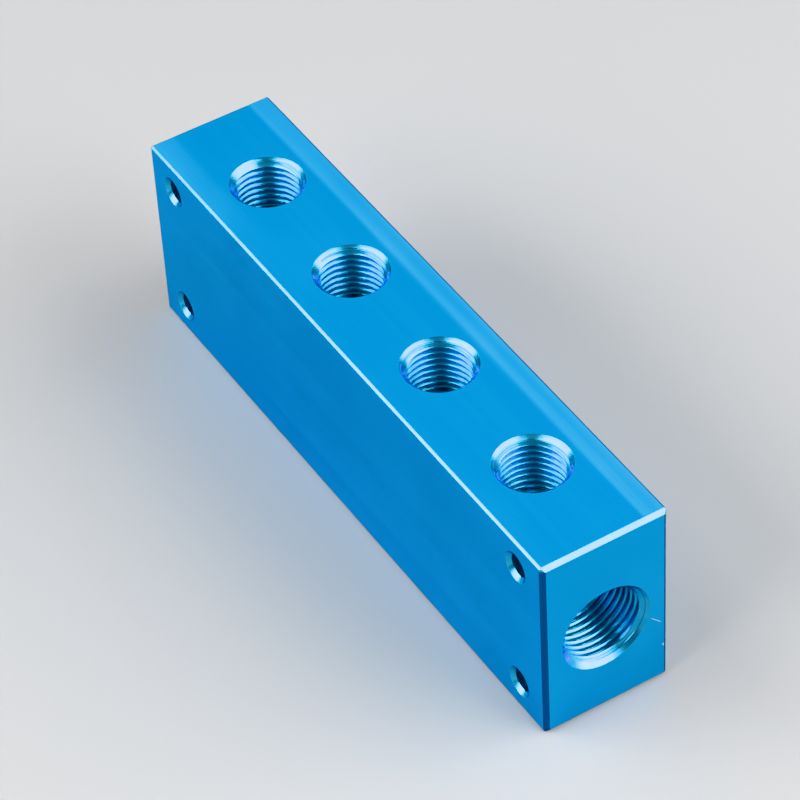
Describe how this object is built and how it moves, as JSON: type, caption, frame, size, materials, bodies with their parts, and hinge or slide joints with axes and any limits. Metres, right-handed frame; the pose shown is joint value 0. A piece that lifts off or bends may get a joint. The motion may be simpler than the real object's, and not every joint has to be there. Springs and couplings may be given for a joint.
{
  "type": "air manifold block",
  "caption": "Rectangular aluminium air manifold with a row of tapped outlets on top, a gallery tapped at both ends and cross-drilled mounting holes.",
  "frame": {"origin": "centre of the base, the plain face opposite the outlets", "axes": "+X along the row of outlets and the gallery, +Y across the width along the mounting holes, +Z out of the outlet face"},
  "size_m": [0.13, 0.025, 0.04],
  "materials": {
    "anodised_blue": "blue anodised, satin, over a machined surface"
  },
  "bodies": {
    "root": {"manifold_block": "anodised_blue"}
  },
  "joints": []
}
